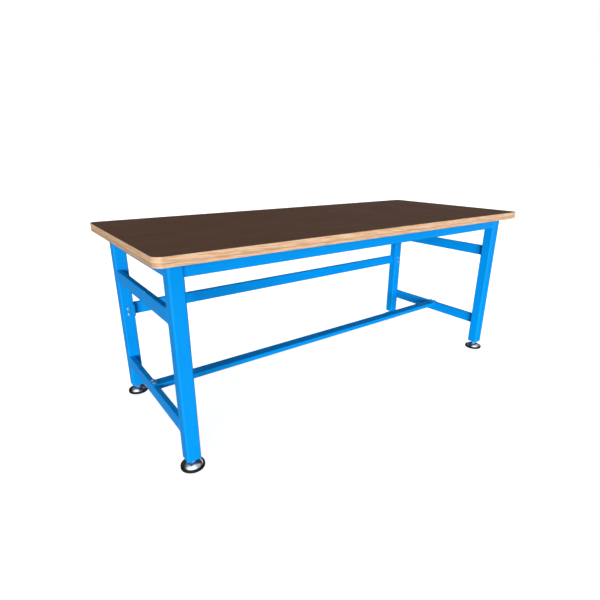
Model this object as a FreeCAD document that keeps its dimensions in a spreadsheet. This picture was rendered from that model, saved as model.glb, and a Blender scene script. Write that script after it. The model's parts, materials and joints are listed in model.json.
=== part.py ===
"""Workbench: two welded side frames, four bolted long rails, a glued plywood worktop, four screw feet.

Millimetres, +X along the worktop's length, +Y to the rear, +Z up.
The origin is on the floor under the middle of the worktop.
"""
import FreeCAD, Part
import math
import os
import Sketcher

SIZES = (
    # worktop
    ("worktop_length", 2200, "worktop, left edge to right edge"),
    ("worktop_depth", 950, "worktop, front edge to rear edge"),
    ("worktop_corner_radius", 35, "plan radius of the four worktop corners"),
    ("bench_height", 905, "floor to working surface, feet screwed right in"),
    ("film_thickness", 0.6, "phenolic film on the upper and lower faces"),
    ("upper_board_thickness", 23.4, "upper plywood board"),
    ("lower_board_thickness", 13.4, "lower plywood board"),
    # side frames
    ("leg_overhang_x", 62.5, "worktop end to the legs' outer faces"),
    ("leg_overhang_y", 70, "worktop edge to the legs' outer faces"),
    ("leg_side", 60, "side of the square leg tube"),
    ("leg_wall", 3, "wall of the leg tube"),
    ("leg_corner_radius", 8, "outer corner radius of the leg tube"),
    ("leg_plate_thickness", 5, "plate that closes the foot of each leg"),
    ("rail_height", 60, "wide side of the rail tube"),
    ("rail_width", 25, "narrow side of the rail tube"),
    ("rail_wall", 2, "wall of the rail tube"),
    ("rail_corner_radius", 4, "outer corner radius of the rail tube"),
    ("rail_setback", 2, "legs' outer faces to the rails' outer faces"),
    ("middle_rail_drop", 182, "axis of the top rails to the axis of the middle side rails"),
    ("rear_rail_drop", 370, "axis of the top rails to the axis of the rear middle rail"),
    ("low_rail_rise", 116.5, "lower end of the legs to the underside of the low side rails"),
    # angle brackets on the long rails and the stretcher
    ("bracket_thickness", 4, "plate of the angle brackets"),
    ("bracket_bend_radius", 3, "inner bend radius of the angle brackets"),
    ("bracket_margin", 15, "bolt line to the free edge of a bracket"),
    ("top_bolt_line", 16, "leg's inner edge to the bolts of the top brackets"),
    ("bolt_spacing", 30, "distance between the two bolts of a bracket"),
    ("bracket_hole_radius", 4.5, "bolt holes in the brackets"),
    ("stretcher_edge_gap", 1, "stretcher bracket's edge to the low rail's outer face"),
    # frame fasteners
    ("bolt_radius", 4, "shank of the frame bolts"),
    ("bolt_length", 20, "frame bolt under its head"),
    ("bolt_head_flats", 13, "frame bolt head across flats"),
    ("bolt_head_height", 5.3, "frame bolt head"),
    ("bolt_washer_radius", 8, "washer under a frame bolt head"),
    ("bolt_washer_hole_radius", 4.2, "hole of that washer"),
    ("bolt_washer_thickness", 1.6, "that washer"),
    ("insert_radius", 5.5, "threaded insert for a frame bolt"),
    ("insert_length", 16, "that insert"),
    # worktop screws
    ("screw_radius", 2.3, "shank of the worktop screws"),
    ("screw_length", 30, "worktop screw under its head"),
    ("screw_head_radius", 5.5, "worktop screw head"),
    ("screw_head_height", 3, "worktop screw head"),
    ("screw_hole_radius", 3, "screw hole in the upper wall of a top rail"),
    ("access_hole_radius", 8, "driver hole in the lower wall of a top rail"),
    # levelling feet
    ("foot_radius", 50, "rubber pad"),
    ("foot_edge_radius", 4, "rounded upper edge of the rubber pad"),
    ("foot_toe_chamfer", 1.5, "bevel at the pad's lower edge"),
    ("foot_lip_height", 12, "floor to the top of the pad's lip"),
    ("foot_seat_height", 8, "floor to the seat of the cup in the pad"),
    ("foot_recess_radius", 36, "hollow under the pad"),
    ("foot_recess_depth", 1.5, "hollow under the pad"),
    ("cup_radius", 42.5, "rim of the pressed steel cup"),
    ("cup_rim_height", 3, "straight rim of the cup"),
    ("cup_height", 19, "seat to the top of the cup"),
    ("cup_crown_radius", 15, "flat crown of the cup"),
    ("cup_dome_radius", 40, "radius of the dome's arc"),
    ("cup_wall", 2, "sheet of the cup"),
    ("spindle_radius", 8, "threaded spindle"),
    ("spindle_disc_radius", 12, "thrust disc at the spindle's lower end"),
    ("spindle_disc_height", 5, "that disc"),
    ("spindle_hex_flats", 22, "spanner hexagon on the spindle, across flats"),
    ("spindle_hex_height", 4, "that hexagon"),
    ("lock_nut_flats", 24, "lock nut and weld nut across flats"),
    ("lock_nut_height", 8, "lock nut"),
    ("lock_nut_travel", 2.5, "room for the lock nut to back off"),
    ("weld_nut_height", 13, "nut welded inside the leg, on its plate"),
    ("lock_washer_radius", 14, "washer over the lock nut"),
    ("lock_washer_thickness", 3, "that washer"),
    ("lock_washer_clearance", 0.5, "washer's hole around the spindle"),
    ("foot_travel", 30, "height that the feet can be screwed out"),
    ("spindle_spare", 2, "spindle above the weld nut, feet screwed right out"),
    # fits
    ("running_clearance", 0.05, "radial clearance of threads and pins in their holes"),
    ("seat_clearance", 0.3, "cup in the pad's recess, all round"),
    ("overrun", 5, "cutters pass this far beyond what they cut"),
)

# places of the worktop screws, as shares of the length of the rail that holds them
LONG_RAIL_SCREW_SHARES = (-0.42, -0.14, 0.14, 0.42)
SIDE_RAIL_SCREW_SHARES = (-0.3, 0.3)

SIDES = (("left", -1), ("right", 1))
ENDS = (("front", -1), ("rear", 1))

doc = FreeCAD.newDocument("workbench")
sheet = doc.addObject("Spreadsheet::Sheet", "Sizes")
for row, (alias, size, meaning) in enumerate(SIZES, start=1):
    sheet.set(f"A{row}", meaning)
    sheet.set(f"B{row}", str(size))
    sheet.setAlias(f"B{row}", alias)
doc.recompute()

# places that several pieces share, as expressions over the sheet
LEG_X = "(Sizes.worktop_length / 2 - Sizes.leg_overhang_x - Sizes.leg_side / 2)"
LEG_Y = "(Sizes.worktop_depth / 2 - Sizes.leg_overhang_y - Sizes.leg_side / 2)"
BOARDS_THICKNESS = "(Sizes.upper_board_thickness + Sizes.lower_board_thickness)"
UNDERSIDE = f"(Sizes.bench_height - 2 * Sizes.film_thickness - {BOARDS_THICKNESS})"
TOP_RAIL_LEVEL = f"({UNDERSIDE} - Sizes.rail_height / 2)"
CUP_TOP = "(Sizes.foot_seat_height + Sizes.cup_height)"
HEX_TOP = f"({CUP_TOP} + Sizes.spindle_hex_height)"
LOCK_NUT_BOTTOM = f"({HEX_TOP} + Sizes.lock_nut_travel)"
LOCK_WASHER_BOTTOM = f"({LOCK_NUT_BOTTOM} + Sizes.lock_nut_height)"
LEG_PLATE_BOTTOM = f"({LOCK_WASHER_BOTTOM} + Sizes.lock_washer_thickness)"
LEG_BOTTOM = f"({LEG_PLATE_BOTTOM} + Sizes.leg_plate_thickness)"
WELD_NUT_TOP = f"({LEG_BOTTOM} + Sizes.weld_nut_height)"
SPINDLE_TOP = f"({WELD_NUT_TOP} + Sizes.foot_travel + Sizes.spindle_spare)"
MIDDLE_RAIL_LEVEL = f"({TOP_RAIL_LEVEL} - Sizes.middle_rail_drop)"
REAR_RAIL_LEVEL = f"({TOP_RAIL_LEVEL} - Sizes.rear_rail_drop)"
LOW_RAIL_LEVEL = f"({LEG_PLATE_BOTTOM} + Sizes.low_rail_rise + Sizes.rail_height / 2)"
# distance of a rail's axis from the axis of its leg, towards the outside
RAIL_OFFSET = "(Sizes.leg_side / 2 - Sizes.rail_setback - Sizes.rail_width / 2)"
SIDE_RAIL_X = f"({LEG_X} + {RAIL_OFFSET})"
LONG_RAIL_Y = f"({LEG_Y} + {RAIL_OFFSET})"
SIDE_RAIL_LENGTH = f"(2 * {LEG_Y} - Sizes.leg_side)"
LONG_RAIL_LENGTH = f"(2 * {LEG_X} - Sizes.leg_side - 2 * Sizes.bracket_thickness)"
STRETCHER_TOP = f"({LOW_RAIL_LEVEL} + Sizes.rail_height / 2)"
STRETCHER_END_X = f"({SIDE_RAIL_X} - Sizes.rail_width / 2 - Sizes.bracket_thickness)"
MIDDLE_BOLT_LINE = "(Sizes.leg_side / 2)"
TOP_BOLT_LINE = "Sizes.top_bolt_line"

# directions
UP = FreeCAD.Vector(0, 0, 1)
TO_REAR = FreeCAD.Vector(0, 1, 0)


def value(expression):
    """An expression's present value in millimetres."""
    return float(sheet.evalExpression(expression))


# sketches and features

def new_body(name, x="0", y="0", z="0"):
    """An empty body whose place follows three expressions."""
    body = doc.addObject("PartDesign::Body", name)
    body.Label = name
    for axis, place in (("x", x), ("y", y), ("z", z)):
        if place != "0":
            body.setExpression(f"Placement.Base.{axis}", place)
    return body


def new_sketch(body, role, name):
    """An empty sketch on one of the body's own origin planes."""
    sketch = body.newObject("Sketcher::SketchObject", name)
    plane = next(item for item in body.Origin.OriginFeatures if item.Role == role)
    sketch.AttachmentSupport = [(plane, "")]
    sketch.MapMode = "FlatFace"
    return sketch


def place_point(sketch, geometry, end, u, v):
    """Ties one point of the sketch to two expressions."""
    for kind, axis, expression in (("DistanceX", -2, u), ("DistanceY", -1, v)):
        distance = value(expression)
        if distance == 0:
            sketch.addConstraint(Sketcher.Constraint("PointOnObject", geometry, end, axis))
        else:
            index = sketch.addConstraint(Sketcher.Constraint(kind, -1, 1, geometry, end, distance))
            sketch.setExpression(f"Constraints[{index}]", expression)


def outline(sketch, corners):
    """A closed outline with every corner tied to the sheet.

    A corner is (u, v), or (u, v, radius, turn) where an arc leads to the next corner:
    turn is 1 for an arc that turns left and -1 for one that turns right.
    """
    count = len(corners)
    points = [(value(corner[0]), value(corner[1])) for corner in corners]
    first = sketch.GeometryCount
    for index, corner in enumerate(corners):
        start = points[index]
        end = points[(index + 1) % count]
        if len(corner) == 2:
            edge = Part.LineSegment(FreeCAD.Vector(*start, 0), FreeCAD.Vector(*end, 0))
        else:
            edge = arc_between(start, end, value(corner[2]), corner[3])
        sketch.addGeometry(edge, False)

    def ends(index):
        corner = corners[index % count]
        forward = len(corner) == 2 or corner[3] > 0
        return (first + index % count,) + ((1, 2) if forward else (2, 1))

    for index, corner in enumerate(corners):
        edge, start, end = ends(index)
        following, following_start, _ = ends(index + 1)
        sketch.addConstraint(Sketcher.Constraint("Coincident", edge, end, following, following_start))
        place_point(sketch, edge, start, corner[0], corner[1])
        if len(corner) == 4:
            radius = sketch.addConstraint(Sketcher.Constraint("Radius", edge, value(corner[2])))
            sketch.setExpression(f"Constraints[{radius}]", corner[2])


def arc_between(start, end, radius, turn):
    """The short arc of a radius from one point to another, to the left or to the right."""
    half = math.dist(start, end) / 2
    along = ((end[0] - start[0]) / (2 * half), (end[1] - start[1]) / (2 * half))
    offset = turn * math.sqrt(max(radius * radius - half * half, 0))
    centre_u = (start[0] + end[0]) / 2 - along[1] * offset
    centre_v = (start[1] + end[1]) / 2 + along[0] * offset
    angles = [math.atan2(point[1] - centre_v, point[0] - centre_u) for point in (start, end)]
    if turn < 0:
        angles.reverse()
    circle = Part.Circle(FreeCAD.Vector(centre_u, centre_v, 0), UP, radius)
    return Part.ArcOfCircle(circle, *angles)


def circles(sketch, places, radius):
    """A circle of one radius at each place."""
    for u, v in places:
        circle = Part.Circle(FreeCAD.Vector(value(u), value(v), 0), UP, value(radius))
        index = sketch.addGeometry(circle, False)
        place_point(sketch, index, 3, u, v)
        constraint = sketch.addConstraint(Sketcher.Constraint("Radius", index, value(radius)))
        sketch.setExpression(f"Constraints[{constraint}]", radius)


def rounded_rectangle(width, height, radius):
    """The corners of a rounded rectangle centred on the sketch's origin, counter-clockwise."""
    half_u = f"(({width}) / 2)"
    half_v = f"(({height}) / 2)"
    flat_u = f"({half_u} - ({radius}))"
    flat_v = f"({half_v} - ({radius}))"
    return [
        (flat_u, f"-{half_v}", radius, 1), (half_u, f"-{flat_v}"),
        (half_u, flat_v, radius, 1), (flat_u, half_v),
        (f"-{flat_u}", half_v, radius, 1), (f"-{half_u}", flat_v),
        (f"-{half_u}", f"-{flat_v}", radius, 1), (f"-{flat_u}", f"-{half_v}"),
    ]


def pad(body, sketch, length, name, both_ways=False):
    """Extrudes a sketch along its normal, or half each way."""
    feature = body.newObject("PartDesign::Pad", name)
    feature.Profile = sketch
    feature.SideType = "Symmetric" if both_ways else "One side"
    feature.setExpression("Length", length)
    return feature


def pocket(body, sketch, length, name, along_normal):
    """Cuts a sketch into the body, from the sketch's plane to one side."""
    feature = body.newObject("PartDesign::Pocket", name)
    feature.Profile = sketch
    feature.Reversed = along_normal
    feature.setExpression("Length", length)
    return feature


def revolve(body, sketch, name):
    """Turns a sketch on the XZ plane about the body's Z axis."""
    feature = body.newObject("PartDesign::Revolution", name)
    feature.Profile = sketch
    feature.ReferenceAxis = (sketch, ["V_Axis"])
    return feature


def tube(body, role, width, height, wall, radius, length, both_ways):
    """A rounded rectangular tube along the normal of one origin plane."""
    section = new_sketch(body, role, "section")
    bore_width = f"{width} - 2 * {wall}"
    bore_height = f"{height} - 2 * {wall}"
    outline(section, rounded_rectangle(width, height, radius))
    outline(section, rounded_rectangle(bore_width, bore_height, f"{radius} - {wall}"))
    pad(body, section, length, "tube", both_ways)


def signed(sign, expression):
    """An expression on the side of zero that the sign says."""
    return expression if sign > 0 else f"-{expression}"


# worktop

def screw_sites():
    """Places of the worktop screws in plan, as expressions."""
    sites = []
    for share in LONG_RAIL_SCREW_SHARES:
        for _, end in ENDS:
            sites.append((f"{share} * {LONG_RAIL_LENGTH}", signed(end, LONG_RAIL_Y)))
    for share in SIDE_RAIL_SCREW_SHARES:
        for _, side in SIDES:
            sites.append((signed(side, SIDE_RAIL_X), f"{share} * {SIDE_RAIL_LENGTH}"))
    return sites


def worktop_layer(name, thickness, bottom, pilot_depth=None):
    """One sheet of the worktop, with pilot holes from below where the screws reach it."""
    body = new_body(name, z=bottom)
    plan = new_sketch(body, "XY_Plane", "plan")
    corner_radius = "Sizes.worktop_corner_radius"
    outline(plan, rounded_rectangle("Sizes.worktop_length", "Sizes.worktop_depth", corner_radius))
    pad(body, plan, thickness, "sheet")
    if pilot_depth:
        pilots = new_sketch(body, "XY_Plane", "pilots")
        circles(pilots, screw_sites(), "Sizes.screw_radius + Sizes.running_clearance")
        pocket(body, pilots, pilot_depth, "pilot_holes", True)
    return body


def worktop():
    lower_board = f"({UNDERSIDE} + Sizes.film_thickness)"
    upper_board = f"({lower_board} + Sizes.lower_board_thickness)"
    upper_film = f"({upper_board} + Sizes.upper_board_thickness)"
    screw_tip = f"({UNDERSIDE} - Sizes.rail_wall + Sizes.screw_length)"
    upper_pilot = f"{screw_tip} + Sizes.running_clearance - {upper_board}"
    return [
        worktop_layer("worktop_film", "Sizes.film_thickness", upper_film),
        worktop_layer("upper_board", "Sizes.upper_board_thickness", upper_board, upper_pilot),
        worktop_layer("lower_board", "Sizes.lower_board_thickness", lower_board,
                      "Sizes.lower_board_thickness + Sizes.overrun"),
        worktop_layer("underside_film", "Sizes.film_thickness", UNDERSIDE,
                      "Sizes.film_thickness + Sizes.overrun"),
    ]


# welded side frames

def bolt_pair(level):
    """Heights of the two bolts of a bracket."""
    return [f"{level} - Sizes.bolt_spacing / 2", f"{level} + Sizes.bolt_spacing / 2"]


def leg_bolt_places(end):
    """Bolt lines of a front or rear leg: distance in from the leg's inner edge, and level."""
    places = [(TOP_BOLT_LINE, level) for level in bolt_pair(TOP_RAIL_LEVEL)]
    if end > 0:
        places += [(MIDDLE_BOLT_LINE, level) for level in bolt_pair(REAR_RAIL_LEVEL)]
    return places


def leg(name, side, end):
    """Square tube, drilled for the threaded inserts in the wall that faces the bench's middle."""
    body = new_body(name, signed(side, LEG_X), signed(end, LEG_Y), LEG_BOTTOM)
    tube(body, "XY_Plane", "Sizes.leg_side", "Sizes.leg_side", "Sizes.leg_wall",
         "Sizes.leg_corner_radius", f"{UNDERSIDE} - {LEG_BOTTOM}", False)
    holes = new_sketch(body, "XZ_Plane", "insert_holes")
    places = [(signed(-side, f"(Sizes.leg_side / 2 - {line})"), f"{level} - {LEG_BOTTOM}")
              for line, level in leg_bolt_places(end)]
    circles(holes, places, "Sizes.insert_radius")
    pocket(body, holes, "Sizes.leg_side / 2 + Sizes.overrun", "drilled", end > 0)
    return body


def leg_plate(name, side, end):
    """Plate welded under the leg, with the hole for the foot's spindle."""
    body = new_body(name, signed(side, LEG_X), signed(end, LEG_Y), LEG_PLATE_BOTTOM)
    plan = new_sketch(body, "XY_Plane", "plan")
    outline(plan, rounded_rectangle("Sizes.leg_side", "Sizes.leg_side", "Sizes.leg_corner_radius"))
    circles(plan, [("0", "0")], "Sizes.spindle_radius + Sizes.running_clearance")
    pad(body, plan, "Sizes.leg_plate_thickness", "plate")
    return body


def side_rail(name, side, level):
    """Tube between a front leg and a rear leg."""
    body = new_body(name, signed(side, SIDE_RAIL_X), z=level)
    tube(body, "XZ_Plane", "Sizes.rail_width", "Sizes.rail_height", "Sizes.rail_wall",
         "Sizes.rail_corner_radius", SIDE_RAIL_LENGTH, True)
    return body


def drill_screw_holes(body, places):
    """Screw holes in a top rail's upper wall and driver holes in its lower wall."""
    for name, radius, upwards in (("screw_holes", "Sizes.screw_hole_radius", True),
                                  ("access_holes", "Sizes.access_hole_radius", False)):
        holes = new_sketch(body, "XY_Plane", name)
        circles(holes, places, radius)
        pocket(body, holes, "Sizes.rail_height / 2 + Sizes.overrun", name + "_drilled", upwards)


def side_frames():
    bodies = []
    for side_name, side in SIDES:
        for end_name, end in ENDS:
            bodies.append(leg(f"{end_name}_{side_name}_leg", side, end))
            bodies.append(leg_plate(f"{end_name}_{side_name}_leg_plate", side, end))
        top_rail = side_rail(f"{side_name}_top_rail", side, TOP_RAIL_LEVEL)
        screws = [("0", f"{share} * {SIDE_RAIL_LENGTH}") for share in SIDE_RAIL_SCREW_SHARES]
        drill_screw_holes(top_rail, screws)
        middle_rail = side_rail(f"{side_name}_middle_rail", side, MIDDLE_RAIL_LEVEL)
        low_rail = side_rail(f"{side_name}_low_rail", side, LOW_RAIL_LEVEL)
        holes = new_sketch(low_rail, "XY_Plane", "insert_holes")
        circles(holes, [("0", level) for level in bolt_pair("0")], "Sizes.insert_radius")
        pocket(low_rail, holes, "Sizes.rail_height / 2 + Sizes.overrun", "drilled", True)
        bodies += [top_rail, middle_rail, low_rail]
    return bodies


# long rails, stretcher and their angle brackets

def long_rail(name, end, level):
    """Tube along the bench, between the brackets on two legs."""
    body = new_body(name, y=signed(end, LONG_RAIL_Y), z=level)
    tube(body, "YZ_Plane", "Sizes.rail_width", "Sizes.rail_height", "Sizes.rail_wall",
         "Sizes.rail_corner_radius", LONG_RAIL_LENGTH, True)
    return body


def angle_outline(toe_a, toe_b, heel_a, heel_b, sign_a, sign_b):
    """Corners of an angle section: its bend is at the heel, its flanges end at the toes.

    The a flange runs from the heel to toe_b, and the b flange from the heel to toe_a.
    heel_a and heel_b are the inner corner of the bend.
    """
    inner = "Sizes.bracket_bend_radius"
    outer = "(Sizes.bracket_bend_radius + Sizes.bracket_thickness)"
    skin_a = f"({heel_a} + Sizes.bracket_thickness)"
    skin_b = f"({heel_b} + Sizes.bracket_thickness)"
    turn = sign_a * sign_b
    points = [
        (heel_a, toe_b), (skin_a, toe_b),
        (skin_a, f"({skin_b} - {outer})", outer, turn), (f"({skin_a} - {outer})", skin_b),
        (toe_a, skin_b), (toe_a, heel_b),
        (f"({heel_a} - {inner})", heel_b, inner, -turn), (heel_a, f"({heel_b} - {inner})"),
    ]
    return [(signed(sign_a, point[0]), signed(sign_b, point[1])) + point[2:] for point in points]


def leg_bracket(name, side, end, level, bolt_line):
    """Angle bracket on a long rail's end, folded round the leg's inner corner."""
    body = new_body(name, signed(side, LEG_X), signed(end, LEG_Y), f"{level} - Sizes.rail_height / 2")
    half = "(Sizes.leg_side / 2)"
    section = new_sketch(body, "XY_Plane", "section")
    toe_a = f"({half} - {bolt_line} - Sizes.bracket_margin)"
    toe_b = f"(Sizes.rail_setback - {half})"
    outline(section, angle_outline(toe_a, toe_b, half, half, -side, -end))
    pad(body, section, "Sizes.rail_height", "angle")
    holes = new_sketch(body, "XZ_Plane", "bolt_holes")
    across = signed(-side, f"({half} - {bolt_line})")
    circles(holes, [(across, height) for height in bolt_pair("Sizes.rail_height / 2")],
            "Sizes.bracket_hole_radius")
    pocket(body, holes, f"{half} + Sizes.bracket_thickness + Sizes.overrun", "drilled", end > 0)
    return body


def stretcher_bracket(name, side):
    """Angle bracket on the stretcher's end, folded over the low side rail."""
    body = new_body(name, signed(side, SIDE_RAIL_X), z=STRETCHER_TOP)
    half = "(Sizes.rail_width / 2)"
    section = new_sketch(body, "XZ_Plane", "section")
    toe_a = f"(Sizes.stretcher_edge_gap - {half})"
    outline(section, angle_outline(toe_a, "(-Sizes.rail_width)", half, "0", -side, 1))
    pad(body, section, "Sizes.rail_height", "angle", both_ways=True)
    holes = new_sketch(body, "XY_Plane", "bolt_holes")
    circles(holes, [("0", place) for place in bolt_pair("0")], "Sizes.bracket_hole_radius")
    pocket(body, holes, "Sizes.bracket_thickness + Sizes.overrun", "drilled", True)
    return body


def long_rails():
    bodies = []
    for name, end, level, bolt_line in (
        ("front_rail", -1, TOP_RAIL_LEVEL, TOP_BOLT_LINE),
        ("rear_top_rail", 1, TOP_RAIL_LEVEL, TOP_BOLT_LINE),
        ("rear_middle_rail", 1, REAR_RAIL_LEVEL, MIDDLE_BOLT_LINE),
    ):
        rail = long_rail(name, end, level)
        if level == TOP_RAIL_LEVEL:
            screws = [(f"{share} * {LONG_RAIL_LENGTH}", "0") for share in LONG_RAIL_SCREW_SHARES]
            drill_screw_holes(rail, screws)
        bodies.append(rail)
        for side_name, side in SIDES:
            bodies.append(leg_bracket(f"{name}_{side_name}_bracket", side, end, level, bolt_line))
    stretcher = new_body("stretcher", z=f"{STRETCHER_TOP} - Sizes.rail_width / 2")
    tube(stretcher, "YZ_Plane", "Sizes.rail_height", "Sizes.rail_width", "Sizes.rail_wall",
         "Sizes.rail_corner_radius", f"2 * {STRETCHER_END_X}", True)
    bodies.append(stretcher)
    for side_name, side in SIDES:
        bodies.append(stretcher_bracket(f"stretcher_{side_name}_bracket", side))
    return bodies


# fasteners

def cylinder(name, radius, height, bottom="0"):
    shape = doc.addObject("Part::Cylinder", name)
    shape.setExpression("Radius", radius)
    shape.setExpression("Height", height)
    if bottom != "0":
        shape.setExpression("Placement.Base.z", bottom)
    return shape


def hexagon(name, flats, height, bottom="0"):
    shape = doc.addObject("Part::Prism", name)
    shape.Polygon = 6
    shape.setExpression("Circumradius", f"{flats} / sqrt(3)")
    shape.setExpression("Height", height)
    if bottom != "0":
        shape.setExpression("Placement.Base.z", bottom)
    return shape


def cut(name, base, tool):
    shape = doc.addObject("Part::Cut", name)
    shape.Base = base
    shape.Tool = tool
    return shape


def fuse(name, *shapes):
    shape = doc.addObject("Part::MultiFuse", name)
    shape.Shapes = list(shapes)
    return shape


def ring(name, radius, hole, height, bottom="0"):
    """A round washer or sleeve on the Z axis."""
    disc = cylinder(name + "_disc", radius, height, bottom)
    return cut(name, disc, cylinder(name + "_hole", hole, height, bottom))


def hexagon_nut(name, flats, height, bottom):
    """A plain hexagon nut on the Z axis, for the foot's spindle."""
    body = hexagon(name + "_body", flats, height, bottom)
    bore = cylinder(name + "_bore", "Sizes.spindle_radius + Sizes.running_clearance", height, bottom)
    return cut(name, body, bore)


def move_to(shape, place, facing=UP):
    """Puts a shape's origin at a place, with its Z axis facing one way."""
    shape.Placement = FreeCAD.Placement(FreeCAD.Vector(), FreeCAD.Rotation(UP, facing))
    for axis, expression in zip("xyz", place):
        if expression != "0":
            shape.setExpression(f"Placement.Base.{axis}", expression)
    return shape


def group(name, shapes):
    """Like fasteners, each its own solid, in one node."""
    compound = doc.addObject("Part::Compound", name)
    compound.Label = name
    compound.Links = shapes
    return compound


def bolt_sites():
    """Where each frame bolt meets its bracket, and the way its head faces."""
    sites = []
    for _, side in SIDES:
        for _, end in ENDS:
            face = signed(end, f"({LEG_Y} - Sizes.leg_side / 2 - Sizes.bracket_thickness)")
            for line, level in leg_bolt_places(end):
                across = signed(side, f"({LEG_X} - Sizes.leg_side / 2 + {line})")
                sites.append(((across, face, level), TO_REAR * -end))
        top = f"{STRETCHER_TOP} + Sizes.bracket_thickness"
        for place in bolt_pair("0"):
            sites.append(((signed(side, SIDE_RAIL_X), place, top), UP))
    return sites


def frame_bolt(name):
    """Hexagon bolt: the bracket's face is at zero, the washer and the head above it."""
    head = hexagon(name + "_head", "Sizes.bolt_head_flats", "Sizes.bolt_head_height",
                   "Sizes.bolt_washer_thickness")
    shank = cylinder(name + "_shank", "Sizes.bolt_radius", "Sizes.bolt_length",
                     "Sizes.bolt_washer_thickness - Sizes.bolt_length")
    return fuse(name, head, shank)


def frame_washer(name):
    hole = "Sizes.bolt_washer_hole_radius"
    return ring(name, "Sizes.bolt_washer_radius", hole, "Sizes.bolt_washer_thickness")


def threaded_insert(name):
    """Sleeve in the tube's wall, flush with the face that the bracket lies on."""
    return ring(name, "Sizes.insert_radius", "Sizes.bolt_radius + Sizes.running_clearance",
                "Sizes.insert_length", "-Sizes.bracket_thickness - Sizes.insert_length")


def worktop_screw(name):
    """Pan-head screw, driven up: the seat of its head is at zero."""
    head_height = "Sizes.screw_head_height"
    head = cylinder(name + "_head", "Sizes.screw_head_radius", head_height, f"-{head_height}")
    shank = cylinder(name + "_shank", "Sizes.screw_radius", "Sizes.screw_length")
    return fuse(name, head, shank)


def frame_fasteners():
    groups = []
    for node, piece, make in (("frame_bolts", "bolt", frame_bolt),
                              ("frame_washers", "washer", frame_washer),
                              ("threaded_inserts", "insert", threaded_insert)):
        shapes = [move_to(make(f"{piece}_{index}"), place, facing)
                  for index, (place, facing) in enumerate(bolt_sites(), start=1)]
        groups.append(group(node, shapes))
    seat = f"{UNDERSIDE} - Sizes.rail_wall"
    screws = [move_to(worktop_screw(f"screw_{index}"), (x, y, seat))
              for index, (x, y) in enumerate(screw_sites(), start=1)]
    groups.append(group("worktop_screws", screws))
    return groups


# levelling feet

def foot_pad(name, x, y):
    """Rubber pad with a raised lip round the cup and a hollow underneath."""
    body = new_body(name, x, y)
    profile = new_sketch(body, "XZ_Plane", "profile")
    recess = "(Sizes.cup_radius + Sizes.seat_clearance)"
    shoulder = "Sizes.foot_lip_height - Sizes.foot_edge_radius"
    outline(profile, [
        ("0", "Sizes.foot_recess_depth"),
        ("Sizes.foot_recess_radius", "Sizes.foot_recess_depth"),
        ("Sizes.foot_recess_radius", "0"),
        ("Sizes.foot_radius - Sizes.foot_toe_chamfer", "0"),
        ("Sizes.foot_radius", "Sizes.foot_toe_chamfer"),
        ("Sizes.foot_radius", shoulder, "Sizes.foot_edge_radius", 1),
        ("Sizes.foot_radius - Sizes.foot_edge_radius", "Sizes.foot_lip_height"),
        (recess, "Sizes.foot_lip_height"),
        (recess, "Sizes.foot_seat_height"),
        ("0", "Sizes.foot_seat_height"),
    ])
    revolve(body, profile, "pad")
    return body


def foot_cup(name, x, y):
    """Domed steel cup, open below, with the hole for the spindle in its crown."""
    body = new_body(name, x, y, "Sizes.foot_seat_height")
    profile = new_sketch(body, "XZ_Plane", "profile")
    bore = "(Sizes.spindle_radius + Sizes.running_clearance)"
    inner_rim = "(Sizes.cup_radius - Sizes.cup_wall)"
    inner_crown = "(Sizes.cup_crown_radius - Sizes.cup_wall)"
    outline(profile, [
        (inner_rim, "0"),
        ("Sizes.cup_radius", "0"),
        ("Sizes.cup_radius", "Sizes.cup_rim_height", "Sizes.cup_dome_radius", 1),
        ("Sizes.cup_crown_radius", "Sizes.cup_height"),
        (bore, "Sizes.cup_height"),
        (bore, "Sizes.cup_height - Sizes.cup_wall"),
        (inner_crown, "Sizes.cup_height - Sizes.cup_wall", "Sizes.cup_dome_radius", -1),
        (inner_rim, "Sizes.cup_rim_height - Sizes.cup_wall"),
    ])
    revolve(body, profile, "dome")
    return body


def foot_spindle(name, place):
    """Threaded spindle with its thrust disc inside the cup and its hexagon on the cup."""
    seat = "Sizes.foot_seat_height"
    disc = cylinder(name + "_disc", "Sizes.spindle_disc_radius", "Sizes.spindle_disc_height", seat)
    shaft = cylinder(name + "_shaft", "Sizes.spindle_radius", f"{SPINDLE_TOP} - {seat}", seat)
    flats = hexagon(name + "_flats", "Sizes.spindle_hex_flats", "Sizes.spindle_hex_height", CUP_TOP)
    spindle = move_to(fuse(name, disc, shaft, flats), place)
    spindle.Label = name
    return spindle


def levelling_feet():
    bodies = []
    weld_nuts = []
    for side_name, side in SIDES:
        for end_name, end in ENDS:
            corner = f"{end_name}_{side_name}"
            x = signed(side, LEG_X)
            y = signed(end, LEG_Y)
            place = (x, y, "0")
            bodies.append(foot_pad(f"{corner}_foot_pad", x, y))
            bodies.append(foot_cup(f"{corner}_foot_cup", x, y))
            bodies.append(foot_spindle(f"{corner}_spindle", place))
            flats = "Sizes.lock_nut_flats"
            nut = hexagon_nut(f"{corner}_lock_nut", flats, "Sizes.lock_nut_height", LOCK_NUT_BOTTOM)
            washer = ring(f"{corner}_lock_washer", "Sizes.lock_washer_radius",
                          "Sizes.spindle_radius + Sizes.lock_washer_clearance",
                          "Sizes.lock_washer_thickness", LOCK_WASHER_BOTTOM)
            for piece, piece_name in ((nut, "lock_nut"), (washer, "lock_washer")):
                piece.Label = f"{corner}_{piece_name}"
                bodies.append(move_to(piece, place))
            weld_nut = hexagon_nut(f"{corner}_weld_nut", flats, "Sizes.weld_nut_height", LEG_BOTTOM)
            weld_nuts.append(move_to(weld_nut, place))
    bodies.append(group("weld_nuts", weld_nuts))
    return bodies


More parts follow.
